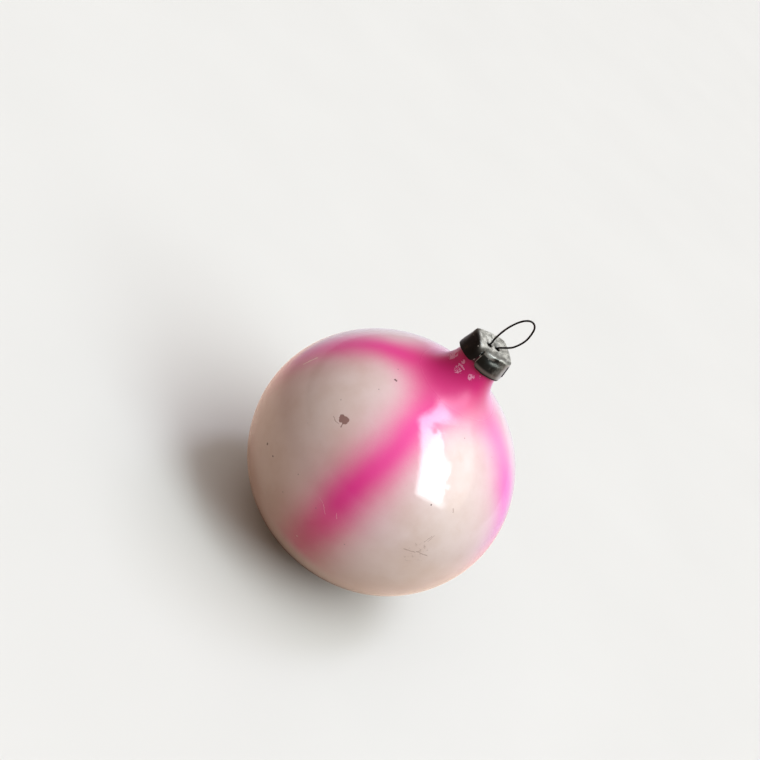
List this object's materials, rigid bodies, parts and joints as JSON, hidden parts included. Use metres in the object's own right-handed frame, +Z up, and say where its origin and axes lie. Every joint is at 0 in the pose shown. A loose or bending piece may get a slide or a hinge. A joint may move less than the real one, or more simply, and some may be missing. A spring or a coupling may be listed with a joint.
{
  "type": "glass ball ornament",
  "caption": "Thin blown-glass ball with a short open neck, a folded tin cap with tabs over the neck, and a wire loop through the cap for hanging.",
  "frame": {"origin": "the ball's lowest point, on the axis through its neck", "axes": "+Z up through the neck; +X along the line through the cap's two wire holes, so the wire loop lies in the XZ plane"},
  "size_m": [0.06, 0.06, 0.0766],
  "materials": {
    "lacquered_glass": "glossy pearl lacquer over silvered glass, with four airbrushed pink stripes",
    "tarnished_tin": "dark oxidised tinplate, patchy and scratched",
    "spring_wire": "dark oxidised steel wire"
  },
  "bodies": {
    "glass": {"glass_ball": "lacquered_glass"},
    "cap": {"metal_cap": "tarnished_tin"},
    "hanger": {"wire_hanger": "spring_wire"}
  },
  "joints": [
    {"name": "cap_lift", "type": "slide", "parent": "glass", "child": "cap", "axis": [0, 0, 1], "range_m": [0, 0.02]},
    {"name": "hanger_lean", "type": "hinge", "parent": "cap", "child": "hanger", "pos_m": [0, 0, 0.06707], "axis": [1, 0, 0], "range_deg": [-20, 20]}
  ]
}
